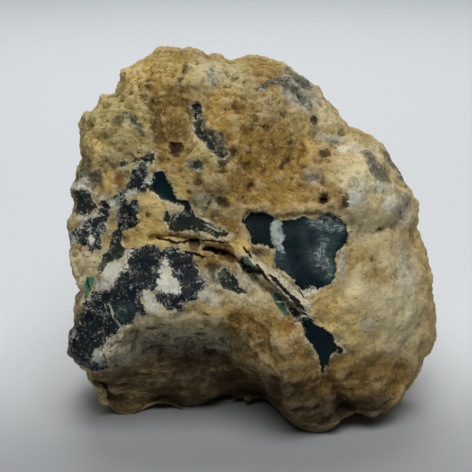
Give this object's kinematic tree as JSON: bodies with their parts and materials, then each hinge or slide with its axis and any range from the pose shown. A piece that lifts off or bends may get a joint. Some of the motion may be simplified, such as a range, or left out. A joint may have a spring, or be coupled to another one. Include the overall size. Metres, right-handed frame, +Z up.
{
  "type": "raw bacan stone",
  "caption": "Hand-sized lump of raw bacan stone, a tan porous rock with flat patches and seams of dark blue-green chalcedony, resting on its own worn feet.",
  "frame": {"origin": "middle of the rock's box in plan, at the level of the floor it stands on", "axes": "+X to the right across the broad face, +Y from the broad face to the back, +Z up"},
  "size_m": [0.0714, 0.0606, 0.067],
  "materials": {
    "stone": "rough, porous and matt, with glossy chalcedony patches"
  },
  "bodies": {
    "root": {"stone": "stone"}
  },
  "joints": []
}
